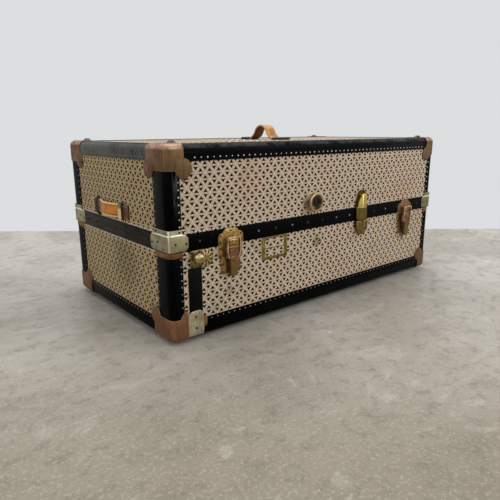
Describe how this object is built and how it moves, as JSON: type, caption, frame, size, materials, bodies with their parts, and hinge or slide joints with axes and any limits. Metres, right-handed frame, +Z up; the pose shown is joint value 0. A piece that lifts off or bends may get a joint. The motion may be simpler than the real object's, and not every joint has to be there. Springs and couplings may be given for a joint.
{
  "type": "wardrobe trunk",
  "caption": "Wardrobe trunk lying on its back, with a hinged upper half, draw latches, a hasp lock, drawers and a sliding hanging rail.",
  "frame": {"origin": "centre of the bottom of the overall box, on the surface the glides stand on", "axes": "+X along the trunk's length towards the end without a handle, +Y from the latched front to the hinged back, +Z up"},
  "size_m": [1.0564, 0.5976, 0.5014],
  "materials": {
    "panel_wood": "raw plywood",
    "covering": "aged printed covering",
    "lining": "matt lining paper",
    "binding_fibre": "black vulcanised fibre, soft sheen",
    "cap_metal": "copper-plated steel, worn",
    "nickel_steel": "aged nickel plate",
    "latch_brass": "old brass",
    "hasp_brass": "bright brass",
    "label_brass": "dull brass",
    "dark_metal": "black japanned steel",
    "steel": "plain steel",
    "strap_leather": "black leather",
    "handle_leather": "tan leather",
    "brown_leather": "brown leather",
    "drawer_board": "covered board",
    "hanger_wood": "varnished beech"
  },
  "bodies": {
    "lower_half": {"lower_shell": "panel_wood", "lower_cover": "covering", "lower_lining": "lining", "lower_bindings": "binding_fibre", "lower_corner_caps": "cap_metal", "lower_rim": "steel", "lower_edge_corners": "brown_leather", "bottom_glides": "steel", "corner_strap": "strap_leather", "strap_foot_plate": "nickel_steel", "strap_foot_backing": "brown_leather", "knob_plate": "label_brass", "ball_knob": "nickel_steel", "round_rosette": "label_brass", "label_frame": "label_brass", "latch_pivot_pins": "steel", "lock_body": "latch_brass", "hinge_lower_leaves": "steel", "hinge_pins": "steel", "drawer_dividers": "drawer_board", "latch_left_base": "latch_brass", "latch_right_base": "latch_brass"},
    "upper_half": {"upper_shell": "panel_wood", "upper_cover": "covering", "upper_lining": "lining", "upper_bindings": "binding_fibre", "upper_corner_caps": "cap_metal", "valance_band": "binding_fibre", "valance_corner_clamps": "nickel_steel", "top_glides": "cap_metal", "hinge_upper_leaves": "steel", "top_handle_strap": "handle_leather", "top_handle_plates": "dark_metal", "end_handle_brackets": "latch_brass", "ring_socket": "latch_brass", "ring_barrel": "dark_metal", "hasp_plate": "dark_metal", "hasp_pin": "steel", "latch_left_keeper": "latch_brass", "latch_right_keeper": "latch_brass", "hanging_track": "steel"},
    "end_handle": {"end_handle_strap": "handle_leather"},
    "hasp": {"lock_hasp": "hasp_brass"},
    "latch_left_lever": {"latch_left_lever": "latch_brass"},
    "latch_left_bail": {"latch_left_bail": "latch_brass"},
    "latch_right_lever": {"latch_right_lever": "latch_brass"},
    "latch_right_bail": {"latch_right_bail": "latch_brass"},
    "hanging_rail": {"hanging_rail": "steel", "garment_hangers": "hanger_wood", "hanger_hooks": "steel"},
    "drawer_1": {"drawer_1_box": "drawer_board", "drawer_1_pull": "brown_leather"},
    "drawer_2": {"drawer_2_box": "drawer_board", "drawer_2_pull": "brown_leather"},
    "drawer_3": {"drawer_3_box": "drawer_board", "drawer_3_pull": "brown_leather"},
    "drawer_4": {"drawer_4_box": "drawer_board", "drawer_4_pull": "brown_leather"}
  },
  "joints": [
    {"name": "lid_hinge", "type": "hinge", "parent": "lower_half", "child": "upper_half", "pos_m": [0.00655, 0.2948, 0.221], "axis": [-1, 0, 0], "range_deg": [0, 140]},
    {"name": "latch_left_lever_swing", "type": "hinge", "parent": "lower_half", "child": "latch_left_lever", "pos_m": [-0.34545, -0.2804, 0.214], "axis": [-1, 0, 0], "range_deg": [0, 110]},
    {"name": "latch_left_bail_swing", "type": "hinge", "parent": "latch_left_lever", "child": "latch_left_bail", "pos_m": [-0.34545, -0.2764, 0.191], "axis": [-1, 0, 0], "range_deg": [-110, 0]},
    {"name": "latch_right_lever_swing", "type": "hinge", "parent": "lower_half", "child": "latch_right_lever", "pos_m": [0.37455, -0.2804, 0.214], "axis": [-1, 0, 0], "range_deg": [0, 110]},
    {"name": "latch_right_bail_swing", "type": "hinge", "parent": "latch_right_lever", "child": "latch_right_bail", "pos_m": [0.37455, -0.2764, 0.191], "axis": [-1, 0, 0], "range_deg": [-110, 0]},
    {"name": "hasp_swing", "type": "hinge", "parent": "upper_half", "child": "hasp", "pos_m": [0.14655, -0.278, 0.295], "axis": [-1, 0, 0], "range_deg": [0, 100]},
    {"name": "drawer_1_slide", "type": "slide", "parent": "lower_half", "child": "drawer_1", "axis": [0, 0, 1], "range_m": [0, 0.15]},
    {"name": "drawer_2_slide", "type": "slide", "parent": "lower_half", "child": "drawer_2", "axis": [0, 0, 1], "range_m": [0, 0.15]},
    {"name": "drawer_3_slide", "type": "slide", "parent": "lower_half", "child": "drawer_3", "axis": [0, 0, 1], "range_m": [0, 0.15]},
    {"name": "drawer_4_slide", "type": "slide", "parent": "lower_half", "child": "drawer_4", "axis": [0, 0, 1], "range_m": [0, 0.15]},
    {"name": "hanging_rail_slide", "type": "slide", "parent": "upper_half", "child": "hanging_rail", "axis": [0, 0, -1], "range_m": [0, 0.15]},
    {"name": "end_handle_lift", "type": "slide", "parent": "upper_half", "child": "end_handle", "axis": [-1, 0, 0], "range_m": [0, 0.004]}
  ],
  "couplings": [
    {"joint": "latch_left_bail_swing", "follows": "latch_left_lever_swing", "ratio": -1},
    {"joint": "latch_right_bail_swing", "follows": "latch_right_lever_swing", "ratio": -1}
  ]
}
